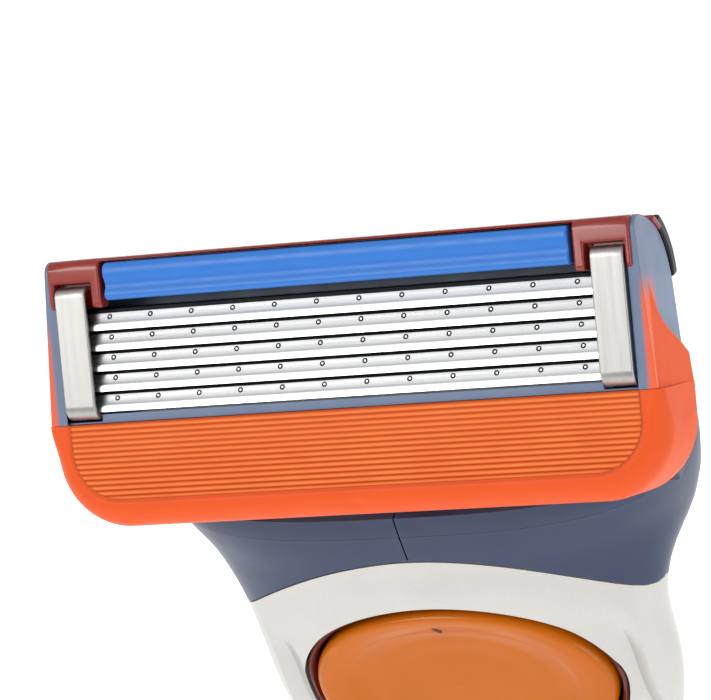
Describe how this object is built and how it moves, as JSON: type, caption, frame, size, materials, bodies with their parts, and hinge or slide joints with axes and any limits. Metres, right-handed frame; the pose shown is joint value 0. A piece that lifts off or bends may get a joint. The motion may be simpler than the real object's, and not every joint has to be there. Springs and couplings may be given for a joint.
{
  "type": "cartridge razor",
  "caption": "Shaving razor: multi-blade cartridge with ribbed rubber guard and blue strip on a pivoting yoke, flared neck, slim silver handle with oval amber release button.",
  "frame": {"origin": "on the handle's axis at the neck, level with the base of the yoke, where a holder's fork takes the razor", "axes": "+Z along the handle towards the head, -Y out of the shaving and button side, +X along the blades"},
  "size_m": [0.039, 0.0147, 0.1435],
  "materials": {
    "slate_housing": "satin",
    "slate_neck": "satin",
    "orange_elastomer": "matte, finely ribbed",
    "blade_steel": "fine ground",
    "support_steel": "rolled",
    "spring_steel": "drawn wire",
    "clip_aluminium": "satin",
    "blue_strip": "waxy",
    "maroon_plastic": "gloss",
    "pearl_silver": "satin metallic coat",
    "amber_button": "gloss",
    "oxblood_bezel": "satin",
    "grip_rubber": "matte",
    "acetal_white": "as moulded"
  },
  "bodies": {
    "handle": {"handle_front_shell": "pearl_silver", "handle_rear_shell": "slate_neck", "rear_grip": "grip_rubber", "end_cap": "pearl_silver", "neck_collar": "slate_neck", "neck_chassis": "acetal_white", "button_bezel": "oxblood_bezel", "weight_insert": "support_steel", "plunger_spring": "spring_steel", "slide_spring": "spring_steel"},
    "connector": {"connecting_member": "slate_neck"},
    "blade_unit": {"cartridge_housing": "slate_housing", "guard_elastomer": "orange_elastomer", "lubricating_strip": "blue_strip", "trimmer_carrier": "maroon_plastic", "trimmer_blade": "blade_steel", "clip_left": "clip_aluminium", "clip_right": "clip_aluminium"},
    "blade_carrier_1": {"blade_1": "blade_steel", "blade_support_1": "support_steel"},
    "blade_carrier_2": {"blade_2": "blade_steel", "blade_support_2": "support_steel"},
    "blade_carrier_3": {"blade_3": "blade_steel", "blade_support_3": "support_steel"},
    "blade_carrier_4": {"blade_4": "blade_steel", "blade_support_4": "support_steel"},
    "blade_carrier_5": {"blade_5": "blade_steel", "blade_support_5": "support_steel"},
    "plunger": {"plunger": "acetal_white"},
    "button": {"release_button": "amber_button"},
    "slide": {"release_slide": "acetal_white"}
  },
  "joints": [
    {"name": "cartridge_detach", "type": "slide", "parent": "handle", "child": "connector", "axis": [0, 0, 1], "range_m": [0, 0.012]},
    {"name": "cartridge_pivot", "type": "hinge", "parent": "connector", "child": "blade_unit", "pos_m": [0, -0.00007, 0.00857], "axis": [-1, 0, 0], "range_deg": [0, 40], "stiffness_Nm_per_rad": 0.02, "springref_deg": -17.19},
    {"name": "blade_1_float", "type": "slide", "parent": "blade_unit", "child": "blade_carrier_1", "axis": [0, 0.788, -0.6157], "range_m": [0, 0.0003], "stiffness_N_per_m": 100, "springref_m": -0.001},
    {"name": "blade_2_float", "type": "slide", "parent": "blade_unit", "child": "blade_carrier_2", "axis": [0, 0.788, -0.6157], "range_m": [0, 0.0003], "stiffness_N_per_m": 100, "springref_m": -0.001},
    {"name": "blade_3_float", "type": "slide", "parent": "blade_unit", "child": "blade_carrier_3", "axis": [0, 0.788, -0.6157], "range_m": [0, 0.0003], "stiffness_N_per_m": 100, "springref_m": -0.001},
    {"name": "blade_4_float", "type": "slide", "parent": "blade_unit", "child": "blade_carrier_4", "axis": [0, 0.788, -0.6157], "range_m": [0, 0.0003], "stiffness_N_per_m": 100, "springref_m": -0.001},
    {"name": "blade_5_float", "type": "slide", "parent": "blade_unit", "child": "blade_carrier_5", "axis": [0, 0.788, -0.6157], "range_m": [0, 0.0003], "stiffness_N_per_m": 100, "springref_m": -0.001},
    {"name": "plunger_slide", "type": "slide", "parent": "handle", "child": "plunger", "axis": [0, 0, -1], "range_m": [0, 0.00205], "deforming": ["plunger_spring"]},
    {"name": "button_press", "type": "slide", "parent": "handle", "child": "button", "axis": [0, 1, 0], "range_m": [0, 0.0012], "stiffness_N_per_m": 400, "springref_m": -0.001},
    {"name": "release_slide_lift", "type": "slide", "parent": "handle", "child": "slide", "axis": [0, 0, 1], "range_m": [0, 0.0024], "deforming": ["slide_spring"]}
  ],
  "couplings": [
    {"joint": "cartridge_pivot", "follows": "plunger_slide", "rad_per_m": 340.2},
    {"joint": "release_slide_lift", "follows": "button_press", "ratio": 2}
  ]
}
